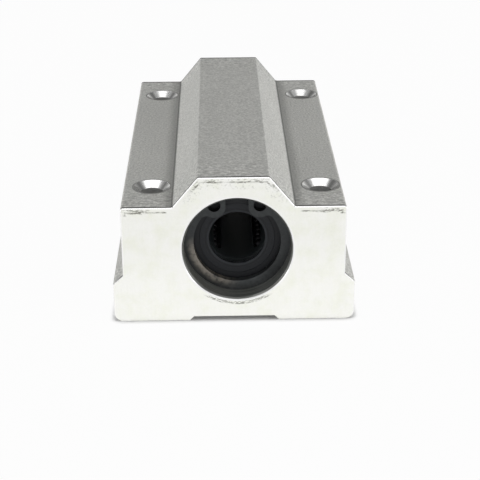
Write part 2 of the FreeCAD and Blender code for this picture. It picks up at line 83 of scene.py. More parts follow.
class Recipe:
    """Shading nodes under construction in one tree."""

    def __init__(self, tree):
        self.tree = tree
        tree.nodes.clear()

    def node(self, kind, **settings):
        """A new node with some of its settings given."""
        made = self.tree.nodes.new(kind)
        for name, value in settings.items():
            setattr(made, name, value)
        return made

    def feed(self, socket, value):
        """Link a socket to a socket, or write a plain value into it."""
        if isinstance(value, bpy.types.NodeSocket):
            self.tree.links.new(value, socket)
        else:
            socket.default_value = value

    def split(self, vector):
        """The three numbers of a vector."""
        parts = self.node("ShaderNodeSeparateXYZ")
        self.feed(parts.inputs[0], vector)
        return parts.outputs

    def joined(self, across, along, up):
        """Three numbers as one vector."""
        step = self.node("ShaderNodeCombineXYZ")
        for socket, value in zip(step.inputs, (across, along, up)):
            self.feed(socket, value)
        return step.outputs[0]

    def math(self, operation, *values):
        """One step of arithmetic."""
        step = self.node("ShaderNodeMath", operation=operation)
        for socket, value in zip(step.inputs, values):
            self.feed(socket, value)
        return step.outputs[0]

    def absolute(self, value):
        """A number without its sign."""
        return self.math("ABSOLUTE", value)

    def minus(self, first, second):
        """The first number less the second."""
        return self.math("SUBTRACT", first, second)

    def times(self, first, second):
        """Two numbers multiplied."""
        return self.math("MULTIPLY", first, second)

    def line(self, value, slope, start):
        """A start plus a slope times the value."""
        return self.math("MULTIPLY_ADD", value, slope, start)

    def least(self, first, second):
        """The smaller of two numbers."""
        return self.math("MINIMUM", first, second)

    def both(self, *masks):
        """Where all the masks hold."""
        result = masks[0]
        for mask in masks[1:]:
            result = self.times(result, mask)
        return result

    def either(self, *masks):
        """Where any of the masks holds."""
        result = masks[0]
        for mask in masks[1:]:
            result = self.math("MAXIMUM", result, mask)
        return result

    def ramp(self, value, start, finish):
        """0 before start, 1 after finish, and smooth between; start may be the larger."""
        step = self.node("ShaderNodeMapRange", interpolation_type="SMOOTHSTEP")
        self.feed(step.inputs["Value"], value)
        step.inputs["From Min"].default_value = min(start, finish)
        step.inputs["From Max"].default_value = max(start, finish)
        step.inputs["To Min"].default_value = 0.0 if start < finish else 1.0
        step.inputs["To Max"].default_value = 1.0 if start < finish else 0.0
        return step.outputs["Result"]

    def band(self, value, middle, half_width, soft):
        """1 within half a width of the middle, falling to 0 over a soft margin."""
        away = self.absolute(self.minus(value, middle))
        return self.ramp(away, half_width + soft, half_width)

    def spread(self, value, amount):
        """Noise turned into a factor around 1, swinging by an amount to each side."""
        return self.line(value, 2.0 * amount, 1.0 - amount)

    def blend(self, share, first, second):
        """One number over another by a share."""
        step = self.node("ShaderNodeMix", data_type="FLOAT")
        self.feed(step.inputs["Factor"], share)
        self.feed(step.inputs["A"], first)
        self.feed(step.inputs["B"], second)
        return step.outputs["Result"]


class Finish(Recipe):
    """A material of one metal-and-rough shader.

    Lengths inside are millimetres, measured from the part's own origin.
    """

    def __init__(self, name, metallic=0.0):
        self.material = bpy.data.materials.new(name)
        self.material.use_nodes = True
        super().__init__(self.material.node_tree)
        self.shader = self.node("ShaderNodeBsdfPrincipled")
        self.set("Metallic", metallic)
        output = self.node("ShaderNodeOutputMaterial")
        self.feed(output.inputs["Surface"], self.shader.outputs["BSDF"])
        scale = self.node("ShaderNodeVectorMath", operation="SCALE")
        scale.inputs["Scale"].default_value = 1.0 / MM
        self.feed(scale.inputs[0], self.node("ShaderNodeTexCoord").outputs["Object"])
        self.place = scale.outputs[0]
        self.x, self.y, self.z = self.split(self.place)

    def set(self, name, value):
        """Feed one input of the shader."""
        self.feed(self.shader.inputs[name], value)

    def facing(self):
        """The surface's own direction."""
        return self.node("ShaderNodeNewGeometry").outputs["Normal"]

    def distance(self, across, up, middle_across=0.0, middle_up=0.0):
        """Distance from an axis, from two of the three place numbers."""
        side = self.minus(across, middle_across)
        rise = self.minus(up, middle_up)
        return self.math("SQRT", self.line(rise, rise, self.times(side, side)))

    def from_shaft(self):
        """Distance from the shaft's axis."""
        return self.distance(self.x, self.z, SHAFT_X, SHAFT_Z)

    def from_hole(self):
        """Distance from the axis of the nearest bolt hole."""
        across = self.absolute(self.minus(self.x, SHAFT_X))
        return self.distance(across, self.absolute(self.y), HOLE_ACROSS, HOLE_ALONG)

    def stretched(self, across, along, up):
        """The place, with each direction stretched by its own factor."""
        step = self.node("ShaderNodeVectorMath", operation="MULTIPLY")
        self.feed(step.inputs[0], self.place)
        step.inputs[1].default_value = (across, along, up)
        return step.outputs[0]

    def wrapped(self, radius, along_arc, through):
        """A place that follows circles round the shaft, stretched along and through them."""
        angle = self.math("ARCTAN2", self.minus(self.z, SHAFT_Z), self.minus(self.x, SHAFT_X))
        arc = self.times(angle, radius * along_arc)
        return self.joined(arc, self.times(self.from_shaft(), through), 0.0)

    def noise(self, grain, detail=2.0, place=None, roughness=0.5):
        """Smooth random values around a half, with cells about one grain wide."""
        step = self.node("ShaderNodeTexNoise")
        self.feed(step.inputs["Vector"], place or self.place)
        step.inputs["Scale"].default_value = 1.0 / grain
        step.inputs["Detail"].default_value = detail
        step.inputs["Roughness"].default_value = roughness
        return step.outputs["Fac"]

    def mix(self, share, first, second):
        """One colour over another by a share."""
        step = self.node("ShaderNodeMix", data_type="RGBA")
        self.feed(step.inputs["Factor"], share)
        self.feed(step.inputs["A"], colour(first))
        self.feed(step.inputs["B"], colour(second))
        return step.outputs["Result"]

    def tint(self, base, factor):
        """A colour made lighter or darker by a factor."""
        step = self.node("ShaderNodeVectorMath", operation="SCALE")
        self.feed(step.inputs[0], base)
        self.feed(step.inputs["Scale"], factor)
        return step.outputs[0]

    def rounded(self, share, direction, normal):
        """A surface's direction, replaced by a smooth one where a mask holds."""
        step = self.node("ShaderNodeMix", data_type="VECTOR")
        self.feed(step.inputs["Factor"], share)
        self.feed(step.inputs["A"], normal)
        self.feed(step.inputs["B"], direction)
        return step.outputs["Result"]

    def bump(self, height, depth, normal=None):
        """Relief from a height that runs from 0 to 1, over a depth in millimetres."""
        step = self.node("ShaderNodeBump")
        self.feed(step.inputs["Height"], height)
        step.inputs["Strength"].default_value = 1.0
        step.inputs["Distance"].default_value = depth * MM
        if normal is not None:
            self.feed(step.inputs["Normal"], normal)
        self.set("Normal", step.outputs["Normal"])


def colour(value):
    """A colour of three numbers as one of four; a socket is left as it is."""
    if isinstance(value, bpy.types.NodeSocket):
        return value
    return (*value[:3], 1.0)


def housing_places(f):
    """Distances on the housing, and a mask for each way that its metal is worked."""
    at = SimpleNamespace()
    _, facing_along, at.facing_up = f.split(f.facing())
    at.facing_end = f.absolute(facing_along)
    at.aside = f.absolute(f.x)
    at.along = f.absolute(f.y)
    at.from_end = f.minus(HALF_LENGTH, at.along)
    at.from_shaft = f.from_shaft()
    at.from_hole = f.from_hole()

    # Depth inside the section's outline: the deeper of the ridge's and the shoulders' depth.
    slope = f.line(at.aside, SLOPE_FACING[0], f.times(f.z, SLOPE_FACING[1]))
    in_ridge = f.least(f.minus(RIDGE_TOP, f.z), f.minus(SLOPE_REACH, slope))
    in_shoulder = f.least(f.minus(SHOULDER_TOP, f.z), f.minus(SHOULDER_SIDE, at.aside))
    at.inset = f.math("MAXIMUM", in_ridge, in_shoulder)

    not_end = f.ramp(at.facing_end, FLAT, TILTED)
    at.end_face = f.both(f.ramp(at.from_end, 0.10, 0.02), f.ramp(at.facing_end, TILTED, FLAT))
    at.edge = f.both(f.ramp(at.from_end, 0.12, 0.10), not_end)
    at.bore = f.both(f.ramp(at.from_shaft, RIM_RADIUS + 0.09, RIM_RADIUS + 0.05), not_end)
    at.sink = f.both(
        f.ramp(at.from_hole, SINK_RADIUS + 0.02, SINK_RADIUS - 0.02),
        f.ramp(at.facing_up, FLAT, TILTED),
        f.ramp(f.z, SINK_FLOOR - 0.02, SINK_FLOOR + 0.02),
    )
    feet = f.both(f.ramp(f.z, 0.06, 0.03), f.ramp(at.facing_up, -TILTED, -FLAT))
    at.cut = f.either(at.end_face, at.edge, at.sink, feet)
    return at


def blasted_skin(f, at, colours, grain):
    """Grainy skin with slow patches and ripples near the ends. It is a little darker towards the
    ridge top as painted shade, has painted shade along the ridge's foot and round the countersink
    rims, and has a dark line painted behind each end edge.
    """
    patches = f.noise(7.0, detail=3.0, place=f.stretched(1.0, 0.45, 1.0))
    drawn = f.noise(0.5, detail=2.0, place=f.stretched(1.0, 0.03, 1.0))
    ripple = f.ramp(f.noise(0.34, detail=3.0, place=f.stretched(0.40, 1.0, 1.0)), 0.30, 0.70)
    lightness = f.both(
        f.spread(grain, 0.20),
        f.spread(patches, 0.08),
        f.spread(drawn, 0.03),
        f.blend(f.ramp(at.from_end, 10.0, 2.0), 1.0, f.spread(ripple, 0.26)),
        # painted shade: this factor makes the skin a little darker towards the ridge top than on
        # the shoulders and slopes
        f.line(f.ramp(f.z, SHOULDER_TOP, RIDGE_TOP - 0.05), -0.08, 1.05),
    )
    # Painted shade: a dark line in the crease at the ridge's foot, and a softer darkening beside it
    # on the shoulders.
    low = f.ramp(f.z, SHOULDER_TOP + 0.8, SHOULDER_TOP + 0.3)
    root = f.both(f.band(at.aside, ROOT_LINE, 0.07, 0.16), low)
    beside_root_shade = f.both(
        f.ramp(at.aside, ROOT_LINE + 1.8, ROOT_LINE + 0.1),
        f.ramp(at.aside, ROOT_LINE - 0.2, ROOT_LINE),
        low,
    )
    # A thin dark line painted on the upper faces just behind each end's edge.
    end_dark_line = f.both(
        f.band(at.from_end, 0.30, 0.17, 0.06), f.ramp(f.z, 6.0, 7.0), f.ramp(at.facing_up, 0.2, 0.4)
    )
    # Painted shadow: a dark ring on the top round the rim of each countersink.
    rim_shadow = f.both(
        f.band(at.from_hole, SINK_RADIUS + 0.12, 0.05, 0.12),
        f.ramp(f.z, SHOULDER_TOP - 0.4, SHOULDER_TOP - 0.1),
    )
    seam = f.either(
        f.times(root, 0.75), f.times(end_dark_line, 0.95), f.times(rim_shadow, 0.60), f.times(beside_root_shade, 0.40)
    )
    return f.mix(seam, f.tint(colours.blasted, lightness), colours.seam)


def end_smears(f, at, flecks):
    """Dark tool marks near the edges of an end face and under its bore."""
    dash_place = f.stretched(0.45, 1.0, 1.3)
    dashes = f.ramp(f.noise(0.30, detail=3.5, place=dash_place, roughness=0.7), 0.46, 0.60)
    broken = f.ramp(f.noise(1.6, detail=2.0), 0.34, 0.54)
    on_ridge = f.ramp(f.z, SHOULDER_TOP + 0.8, SHOULDER_TOP + 2.8)
    by_shoulder = f.ramp(f.z, SHOULDER_TOP - 1.3, SHOULDER_TOP - 0.9)
    ridge_smear = f.both(f.band(at.inset, 0.50, 0.18, 0.24), on_ridge, dashes, broken)
    outer_smear = f.both(
        f.band(at.inset, 0.55, 0.20, 0.30), f.band(at.aside, 13.6, 1.2, 1.4), by_shoulder, dashes
    )
    beyond_root = f.ramp(at.aside, ROOT_LINE + 0.5, ROOT_LINE + 1.1)
    near_top = f.ramp(f.z, RIDGE_TOP - 2.35, RIDGE_TOP - 1.15)
    shelf_line = f.both(
        f.band(at.inset, 0.66, 0.05, 0.10),
        by_shoulder,
        f.either(beyond_root, near_top),
        f.spread(dashes, 0.6),
        f.spread(broken, 0.5),
    )
    pitted = f.both(
        f.band(at.inset, 0.95, 0.55, 0.45),
        f.ramp(f.z, SHOULDER_TOP + 0.2, SHOULDER_TOP + 1.2),
        f.ramp(flecks, 0.52, 0.66),
    )
    arc_place = f.wrapped(RIM_RADIUS + 0.44, 0.5, 2.2)
    arc_grain = f.noise(0.30, detail=3.0, place=arc_place, roughness=0.7)
    tool_arc = f.both(
        f.band(at.from_shaft, RIM_RADIUS + 0.43, 0.18, 0.10),
        f.ramp(f.minus(SHAFT_Z, f.z), 6.7, 7.5),
        f.ramp(arc_grain, 0.44, 0.56),
    )
    return f.either(
        f.times(ridge_smear, 0.75),
        f.times(outer_smear, 0.85),
        f.times(shelf_line, 0.60),
        f.times(pitted, 0.28),
        f.times(tool_arc, 0.85),
    )


def milled_metal(f, at, colours, cloud, lines):
    """Cloudy white metal, lighter towards the bottom as painted light from the floor. It has a
    painted highlight along its edges and round the bore's mouth, and smears beside the edges.
    """
    flecks = f.noise(0.30, detail=3.0, roughness=0.7)
    lightness = f.both(
        # painted light: the last factor makes the end face lighter towards its bottom, as if lit
        # from the floor
        f.spread(lines, 0.02), f.spread(flecks, 0.04), f.line(f.ramp(f.z, 14.0, 4.0), 0.06, 1.0)
    )
    milled = f.mix(f.ramp(cloud, 0.35, 0.75), colours.milled, colours.milled_cloud)
    milled = f.tint(milled, lightness)
    milled = f.mix(end_smears(f, at, flecks), milled, colours.smear)
    # Painted highlight: a bright band along the end face's edges and round the bore's mouth.
    painted_edge_highlight = f.either(
        f.ramp(at.inset, 0.20, 0.12), f.ramp(at.from_shaft, RIM_RADIUS + 0.21, RIM_RADIUS + 0.13)
    )
    return f.mix(painted_edge_highlight, milled, colours.bright_edge)


def bore_shade_and_highlight(f, at, colours, rings):
    """Wall of the bore, darkened as painted shade, with a painted highlight on the very edge of its
    lead-in.
    """
    # Painted highlight on the outer edge of the lead-in.
    lead_in_highlight = f.both(
        at.bore,
        f.ramp(at.from_shaft, BORE_RADIUS + 0.01, BORE_RADIUS + 0.05),
        f.ramp(at.from_end, 0.32, 0.28),
        f.ramp(at.from_shaft, RIM_RADIUS - 0.11, RIM_RADIUS - 0.07),
    )
    bore_shade = f.tint(colours.bore_shade, f.spread(rings, 0.40))
    return f.mix(lead_in_highlight, bore_shade, colours.bright_edge)


def smooth_direction(f, at, side, toward_shaft):
    """Directions for the round cuts, whose solids are made of flat facets."""
    inside_out = f.times(at.from_shaft, -1.0)
    rise = f.minus(f.z, SHAFT_Z)
    inward = f.joined(f.math("DIVIDE", side, inside_out), 0.0, f.math("DIVIDE", rise, inside_out))
    wall = f.both(at.bore, f.ramp(at.facing_end, 0.3, 0.2))
    funnel = f.joined(
        f.times(f.math("SIGN", side), toward_shaft),
        f.times(f.math("SIGN", f.y), f.minus(HOLE_ALONG, at.along)),
        at.from_hole,
    )
    unit = f.node("ShaderNodeVectorMath", operation="NORMALIZE")
    f.feed(unit.inputs[0], funnel)
    return f.rounded(at.sink, unit.outputs[0], f.rounded(wall, inward, f.facing()))


def housing_finish(colours):
    """Bead-blasted extrusion with bright milled ends, a bored middle and cut countersinks."""
    f = Finish("blasted_and_milled_aluminium")
    at = housing_places(f)
    grain = f.ramp(f.noise(0.30, detail=2.5, roughness=0.7), 0.32, 0.68)
    cloud = f.noise(3.2, detail=4.0, roughness=0.6)
    lines = f.noise(0.28, detail=2.0, place=f.stretched(1.0, 1.0, 0.12))
    rings = f.ramp(f.noise(0.26, detail=3.0, place=f.stretched(0.04, 1.0, 0.04)), 0.25, 0.75)

    # Painted reflection in a countersink: its colour is bright where it faces along the block, and
    # painted darker towards its sides.
    side = f.minus(f.x, SHAFT_X)
    toward_shaft = f.minus(HOLE_ACROSS, f.absolute(side))
    sideways = f.math("DIVIDE", f.absolute(toward_shaft), at.from_hole)
    turned = f.mix(f.ramp(sideways, 0.55, 0.80), colours.bright_edge, colours.turned)
    fresh = f.either(at.edge, at.sink)
    inside_hole = f.both(
        f.ramp(at.from_hole, THREAD_RADIUS + 0.10, THREAD_RADIUS + 0.05),
        f.ramp(f.z, SINK_FLOOR + 0.05, SINK_FLOOR - 0.05),
    )

    base = blasted_skin(f, at, colours, grain)
    base = f.mix(at.cut, base, milled_metal(f, at, colours, cloud, lines))
    base = f.mix(fresh, base, f.mix(at.sink, colours.bright_edge, turned))
    base = f.mix(inside_hole, base, colours.drilled)
    base = f.mix(at.bore, base, bore_shade_and_highlight(f, at, colours, rings))
    f.set("Base Color", base)
    f.set("Metallic", f.blend(at.cut, 0.45, f.blend(at.bore, 0.85, 0.7)))
    rough = f.blend(at.cut, 0.65, f.line(cloud, 0.16, 0.30))
    rough = f.blend(fresh, rough, 0.20)
    f.set("Roughness", f.blend(at.bore, rough, 0.30))

    cut_relief = f.blend(at.bore, f.times(lines, 0.08), rings)
    relief = f.blend(f.either(at.cut, at.bore), grain, cut_relief)
    f.bump(relief, 0.03, smooth_direction(f, at, side, toward_shaft))
    return f.material


def spring_steel_finish(colours):
    """Dark phosphated spring steel, with a painted brown sheen on one side of its face and a
    painted grey glint beside it.
    """
    f = Finish("phosphated_spring_steel", metallic=0.75)
    from_below = f.math("ARCTAN2", f.minus(f.x, SHAFT_X), f.minus(SHAFT_Z, f.z))
    streaks = f.noise(0.55, detail=4.0, place=f.stretched(1.0, 0.3, 1.0), roughness=0.6)
    # Painted sheen: a brown patch on the lower left of the face, where a reflection would light it.
    painted_sheen = f.both(
        f.band(from_below, -0.83, 0.38, 0.58),
        f.ramp(f.from_shaft(), 7.4, 6.4),
        f.ramp(streaks, 0.20, 0.65),
    )
    # Painted glint: the face is made lighter near its bottom.
    painted_glint = f.line(f.band(from_below, 0.15, 0.25, 0.45), 0.9, 1.0)
    dark = f.tint(colours.spring, f.both(f.spread(streaks, 0.5), painted_glint))
    f.set("Base Color", f.mix(painted_sheen, dark, colours.spring_painted_sheen))
    f.set("Roughness", f.line(streaks, 0.25, 0.28))
    f.bump(streaks, 0.008)
    return f.material


def seal_finish(colours):
    """Black rubber with a paler wiping lip, shallow rings and a little dust."""
    f = Finish("seal_rubber")
    f.set("Specular IOR Level", 0.3)
    from_shaft = f.from_shaft()
    lip = f.band(from_shaft, 4.14, 0.12, 0.08)
    collar = f.band(from_shaft, 4.95, 0.34, 0.10)
    grain = f.noise(0.22, detail=4.0, roughness=0.6)
    dust = f.ramp(f.noise(0.16, detail=2.0), 0.72, 0.80)
    base = f.tint(colours.rubber, f.spread(grain, 0.35))
    base = f.mix(f.times(collar, 0.45), base, colours.rubber_collar)
    base = f.mix(f.times(lip, 0.85), base, colours.rubber_lip)
    base = f.mix(f.times(dust, 0.5), base, colours.dust)
    f.set("Base Color", base)
    f.set("Roughness", f.line(grain, 0.25, 0.42))
    f.bump(f.line(collar, 0.8, f.times(grain, 0.2)), 0.05)
    return f.material


def ground_steel_finish(colours):
    """Ground bearing steel with fine rings round the shaft."""
    f = Finish("ground_bearing_steel", metallic=1.0)
    rings = f.noise(0.06, detail=3.0, place=f.stretched(0.03, 1.0, 0.03))
    tarnish = f.noise(2.2, detail=4.0)
    lightness = f.both(f.spread(rings, 0.10), f.spread(tarnish, 0.10))
    f.set("Base Color", f.tint(colours.ground, lightness))
    f.set("Roughness", f.line(rings, 0.18, 0.18))
    f.bump(rings, 0.004)
    return f.material


def cage_finish(colours):
    """Black moulded resin with a faint pebble."""
    f = Finish("moulded_cage_resin")
    f.set("Specular IOR Level", 0.40)
    pebble = f.noise(0.18, detail=3.0)
    f.set("Base Color", f.tint(colours.resin, f.spread(pebble, 0.3)))
    f.set("Roughness", f.line(pebble, 0.3, 0.45))
    f.bump(pebble, 0.01)
    return f.material


def ball_finish(colours):
    """Chrome steel balls, darkened as painted shade, with a patchy film of oil in their tone and
    roughness.
    """
    f = Finish("polished_ball_steel", metallic=1.0)
    oil = f.noise(0.6, detail=3.0)
    f.set("Base Color", f.tint(colours.ball, f.spread(oil, 0.08)))
    f.set("Roughness", f.line(oil, 0.2, 0.42))
    return f.material


def thread_finish(colours):
    """Freshly tapped aluminium: bright crests and torn, darker flanks."""
    f = Finish("tapped_aluminium", metallic=1.0)
    torn = f.noise(0.12, detail=4.0, roughness=0.7)
    crest = f.ramp(f.from_hole(), 1.78, 1.64)
    metal = f.mix(crest, colours.drilled, colours.bright_edge)
    f.set("Base Color", f.tint(metal, f.spread(torn, 0.2)))
    f.set("Roughness", f.line(torn, 0.3, 0.15))
    f.bump(torn, 0.01)
    return f.material


# --------------------------------------------------------------------- new surfaces


def grid_faces(rows, columns):
    """Quads of a grid whose columns close on themselves: corner k is row * columns + column."""
    row, column = np.meshgrid(np.arange(rows - 1), np.arange(columns), indexing="ij")
    following = (column + 1) % columns
    corners = (
        row * columns + column,
        row * columns + following,
        (row + 1) * columns + following,
        (row + 1) * columns + column,
    )
    return np.stack(corners, axis=-1).reshape(-1, 4)


def add_piece(name, points, faces, material, smooth=True):
    """A closed mesh at the origin that rides with the block."""
    mesh = bpy.data.meshes.new(name)
    mesh.from_pydata(points.reshape(-1, 3).tolist(), [], faces)
    mesh.polygons.foreach_set("use_smooth", [smooth] * len(faces))
    mesh.materials.append(material)
    mesh.update()
    piece = bpy.data.objects.new(name, mesh)
    bpy.context.scene.collection.objects.link(piece)
    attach(piece, "root")
    return piece


def thread_ridge(sizes, middle_x, middle_y):
    """The metal between the grooves of a tapped hole.

    Formula: a four-cornered section, 7/8 of a pitch wide at the hole's wall and 1/8 at the
    crest, is carried along a helix. Along the helix the angle grows by a full turn per pitch
    and the height by one pitch; over the first and last half turn the crest sinks back to the
    wall and the section narrows.
    """
    pitch, wall = sizes.thread_pitch, sizes.thread_wall_radius
    turns = (sizes.thread_top - sizes.thread_bottom) / pitch
    travel = np.linspace(0.0, turns, int(turns * sizes.steps_per_turn) + 1)
    rise = np.clip(np.minimum(travel, turns - travel) * 2.0, 0.02, 1.0)
    half_root, half_crest = pitch * 7.0 / 16.0, pitch / 16.0
    across = np.array([1.0, 0.0, 0.0, 1.0])
    up = np.array([-half_root, -half_crest, half_crest, half_root])
    depth = (wall - sizes.thread_crest_radius) * rise[:, None]
    radius = wall - depth * (1.0 - across)[None, :]
    swelling = 0.3 + 0.7 * rise[:, None]
    height = sizes.thread_bottom + pitch * travel[:, None] + up[None, :] * swelling
    angle = 2.0 * np.pi * travel[:, None] + np.zeros_like(radius)
    points = np.stack(
        (middle_x + radius * np.cos(angle), middle_y + radius * np.sin(angle), height), axis=-1
    )
    faces = [face[::-1] for face in grid_faces(len(travel), 4).tolist()]
    last = (len(travel) - 1) * 4
    faces += [[0, 1, 2, 3], [last + 3, last + 2, last + 1, last]]
    return points, faces


def ball_surface(centres, radius, rings, sectors):
    """Balls on a run of centres.

    Formula: for latitude u from pole to pole and longitude v right round, a point is the
    centre plus the radius times (sin u cos v, sin u sin v, cos u); each pole is one point.
    """
    latitude = np.pi * np.arange(1, rings) / rings
    longitude = 2.0 * np.pi * np.arange(sectors) / sectors
    u, v = np.meshgrid(latitude, longitude, indexing="ij")
    belt = np.stack((np.sin(u) * np.cos(v), np.sin(u) * np.sin(v), np.cos(u)), axis=-1)
    unit = np.concatenate((belt.reshape(-1, 3), [[0.0, 0.0, 1.0], [0.0, 0.0, -1.0]]))
    points = centres[:, None, :] + radius * unit[None, :, :]
    turned = grid_faces(rings - 1, sectors)[:, ::-1]
    column = np.arange(sectors)
    following = (column + 1) % sectors
    top, bottom = len(unit) - 2, len(unit) - 1
    foot = (rings - 2) * sectors
    cap = np.stack((column, following, np.full(sectors, top)), axis=-1)
    base = np.stack((foot + following, foot + column, np.full(sectors, bottom)), axis=-1)
    first = np.arange(len(centres))[:, None, None] * len(unit)
    faces = []
    for part in (turned, cap, base):
        faces += (part[None] + first).reshape(-1, part.shape[1]).tolist()
    return points, faces


def ball_centres(node, balls):
    """Middle of each ball of a packed circuit, whose corners lie ball after ball."""
    mesh = bpy.data.objects[node].data
    corners = np.empty(len(mesh.vertices) * 3)
    mesh.vertices.foreach_get("co", corners)
    return corners.reshape(balls, -1, 3).mean(axis=1)


# ------------------------------------------------------------------ what a user sets


def tone(name, description, default):
    """A colour setting, as linear light."""
    return FloatVectorProperty(
        name=name, description=description, subtype="COLOR", default=default, min=0.0, max=1.0
    )


def length(name, description, default, least=0.0):
    """A length setting, whose default and least value are given in millimetres."""
    return FloatProperty(
        name=name, description=description, unit="LENGTH", precision=5,
        default=default * MM, min=least * MM,
    )


def level(name, description, default, **limits):
    """A plain number that is never below 0."""
    return FloatProperty(name=name, description=description, default=default, min=0.0, **limits)


def count(name, description, default, least):
    """A whole number."""
    return IntProperty(name=name, description=description, default=default, min=least)


class BlockColours(bpy.types.PropertyGroup):
    """Colours of the block's finishes, as linear light."""

    blasted: tone("Blasted skin", "Bead-blasted aluminium", (0.545, 0.545, 0.52))
    # Painted shade along the ridge's foot and round the countersink rims, and a dark line behind
    # the end edges
    seam: tone("Seam", "Darker line along roots, rims and ends", (0.07, 0.07, 0.065))
    milled: tone("Milled end", "Bright milled aluminium", (0.925, 0.925, 0.89))
    milled_cloud: tone("Milled cloud", "Warmer patches on the milled ends", (0.875, 0.885, 0.80))
    smear: tone("Smear", "Tool marks on the milled ends", (0.22, 0.22, 0.19))
    # Fresh cut metal; also the colour of the painted highlights along the end edges and the bore's
    # lead-in
    bright_edge: tone("Bright edge", "Fresh cut chamfers and countersinks", (0.96, 0.96, 0.95))
    # Painted shade: the dark colour of the bore's wall
    bore_shade: tone("Bore", "Turned wall of the bore", (0.152, 0.156, 0.146))
    drilled: tone("Drilled", "Walls of the bolt holes", (0.45, 0.45, 0.44))
    # Painted shade: the darker colour of the countersinks' sides
    turned: tone("Countersink side shade", "Countersinks towards their sides", (0.36, 0.36, 0.35))
    spring: tone("Spring steel", "Phosphated retaining rings", (0.042, 0.045, 0.046))
    # Painted sheen on the rings' faces
    spring_painted_sheen: tone(
        "Painted sheen on spring steel", "Where a sheen is painted on a ring", (0.27, 0.245, 0.21)
    )
    rubber: tone("Rubber", "Body of the seals", (0.008, 0.009, 0.011))
    rubber_collar: tone("Rubber collar", "Raised ring of a seal", (0.018, 0.020, 0.024))
    rubber_lip: tone("Rubber lip", "Wiping lip of a seal", (0.021, 0.024, 0.028))
    dust: tone("Dust", "Specks on the rubber", (0.10, 0.11, 0.12))
    ground: tone("Ground steel", "Sleeves, end rings and spacer", (0.42, 0.42, 0.43))
    resin: tone("Resin", "Ball cages", (0.024, 0.030, 0.032))
    # Painted shade: the balls are made dark so they stay dim inside the bore
    ball: tone("Balls", "Balls darkened as painted shade", (0.045, 0.045, 0.048))


class BlockSizes(bpy.types.PropertyGroup):
    """Sizes of the pieces that are added to the solids."""

    thread_pitch: length("Thread pitch", "Rise of the thread per turn", 0.7, 0.1)
    thread_wall_radius: length(
        "Thread root radius", "Radius of the tapped hole's wall", THREAD_RADIUS, 0.5
    )
    thread_crest_radius: length(
        "Thread crest radius", "Radius that the crests leave free", 1.64, 0.3
    )
    thread_bottom: length("Thread start", "Height at which the thread starts", 0.5)
    thread_top: length("Thread end", "Height at which the thread ends", 7.6)
    steps_per_turn: count("Steps per turn", "Sections along each turn of thread", 36, 8)
    ball_radius: length("Ball radius", "Radius of each ball", 0.794, 0.1)
    balls_per_circuit: count("Balls per circuit", "Balls in each oval track", 20, 1)
    ball_rings: count("Ball rings", "Bands from pole to pole of a ball", 6, 3)
    ball_sectors: count("Ball sectors", "Steps round a ball", 10, 4)


class BlockStudio(bpy.types.PropertyGroup):
    """The floor, the light and the camera."""

    floor_width: length("Floor width", "Side of the square floor", 6000.0, 500.0)
    floor_drop: length("Floor drop", "Hair's breadth between the feet and the floor", 0.02)
    floor_colour: tone("Floor", "White table", (0.90, 0.90, 0.90))
    floor_glow: level(
        "Floor white", "Share of plain white that the floor shows", 0.95, subtype="FACTOR", max=1.0
    )
    contact_reach: length(
        "Contact reach", "How far the dark line beside the block reaches", 1.5, 0.1
    )
    horizon: level("Horizon light", "Light from the sides of the studio", 1.25)
    side_gain: level("Side gain", "How much brighter the left and right are", 1.15)
    lean: level("Lean", "How much brighter the right is than the middle", 0.16)
    overhead: level("Overhead light", "Light from straight above", 0.2)
    key_power: level("Key lamp", "Power of the soft lamp above the front", 0.53, unit="POWER")
    lens: FloatProperty(
        name="Lens", description="Focal length of the camera in millimetres",
        default=93.18, min=10.0,
    )
    camera_place: FloatVectorProperty(
        name="Camera place", description="Where the camera stands", subtype="TRANSLATION",
        unit="LENGTH", default=(-2.16 * MM, -185.19 * MM, 83.62 * MM), precision=5,
    )
    camera_turn: FloatVectorProperty(
        name="Camera turn", description="Heading to the right, downward tilt and roll",
        subtype="EULER", unit="ROTATION",
        default=(math.radians(1.10), math.radians(24.48), math.radians(0.28)),
    )


# --------------------------------------------------------------------------- studio

WHITE = (1.0, 1.0, 1.0)
CRACK_OPENNESS = (0.5, 0.85)  # free share of the sky: in the crack, and on open floor
CRACK_SAMPLES = 16
FALL_HEIGHT = (0.05, 0.6)  # upward part of a direction, where the light starts and stops to fall
LAMP_SIZE = (0.7, 0.2)
LAMP_PLACE = (0.0, -0.15, 0.35)
LAMP_TILT = math.radians(26.0)
SENSOR_WIDTH = 36.0
CLIP_RANGE = (0.01, 20.0)


def plain_share(recipe):
    """1 for rays from the eye, by mirror or through glass; 0 for rays that carry light."""
    ray = recipe.node("ShaderNodeLightPath").outputs
    return recipe.either(ray["Is Camera Ray"], ray["Is Glossy Ray"], ray["Is Transmission Ray"])


def open_share(recipe, reach):
    """1 on open floor, and 0 in the crack right beside the block."""
    crack = recipe.node("ShaderNodeAmbientOcclusion", samples=CRACK_SAMPLES)
    crack.inputs["Distance"].default_value = reach
    return recipe.ramp(crack.outputs["AO"], *CRACK_OPENNESS)


